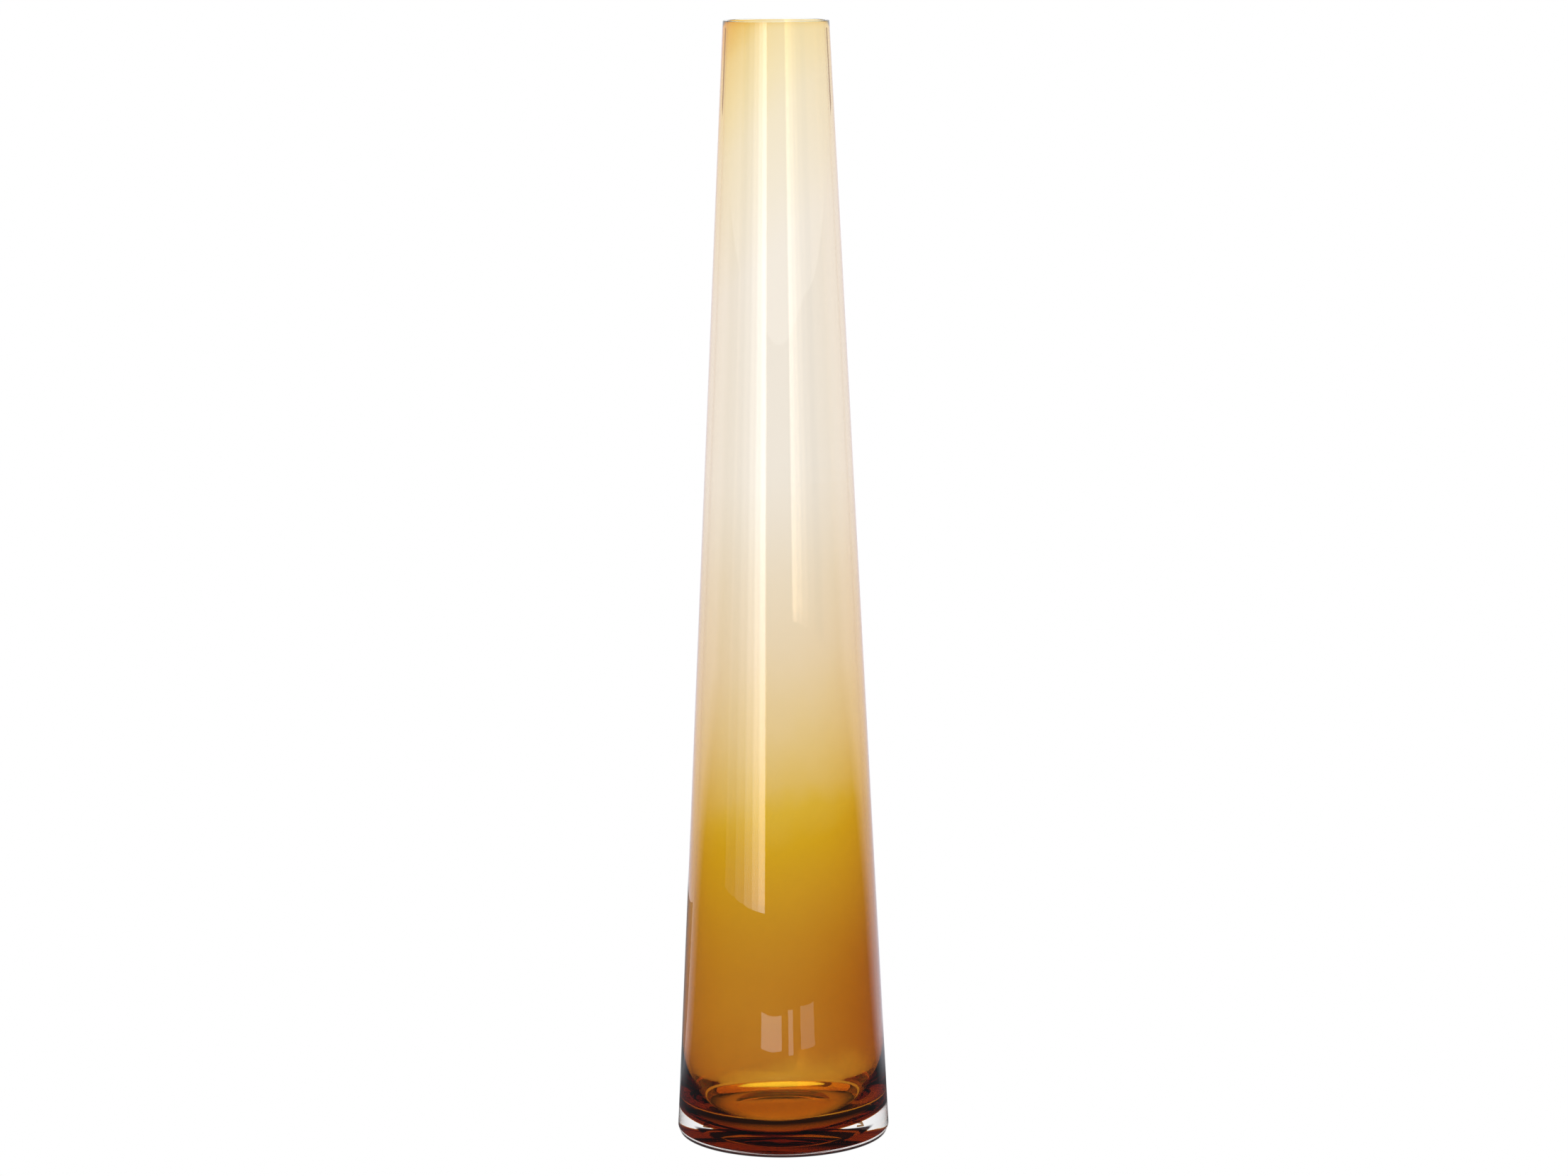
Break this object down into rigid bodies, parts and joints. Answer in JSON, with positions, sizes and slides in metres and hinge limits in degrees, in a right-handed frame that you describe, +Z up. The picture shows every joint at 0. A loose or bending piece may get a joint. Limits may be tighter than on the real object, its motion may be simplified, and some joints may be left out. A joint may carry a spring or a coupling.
{
  "type": "tapered glass vase",
  "caption": "Tall narrow tapered vase in cased clear and amber blown glass, open at the top, with a heavy clear foot; holds stems or stands alone as a decorative vessel.",
  "frame": {"origin": "centre of the ring that the foot stands on, on the vase's axis", "axes": "+Z up along the vase's axis, from the foot to the rim; the vase is turned, so X and Y are alike"},
  "size_m": [0.134, 0.134, 0.7],
  "materials": {
    "foot_glass": "clear fire polished glass, ground and polished underneath",
    "casing_glass": "clear fire polished glass",
    "amber_glass": "transparent amber brown glass, thinning to nothing at its upper edge",
    "gold_glass": "transparent pale gold glass, deeper towards the rim"
  },
  "bodies": {
    "root": {"clear_foot": "foot_glass", "clear_casing": "casing_glass", "amber_gather": "amber_glass", "gold_lining": "gold_glass"}
  },
  "joints": []
}
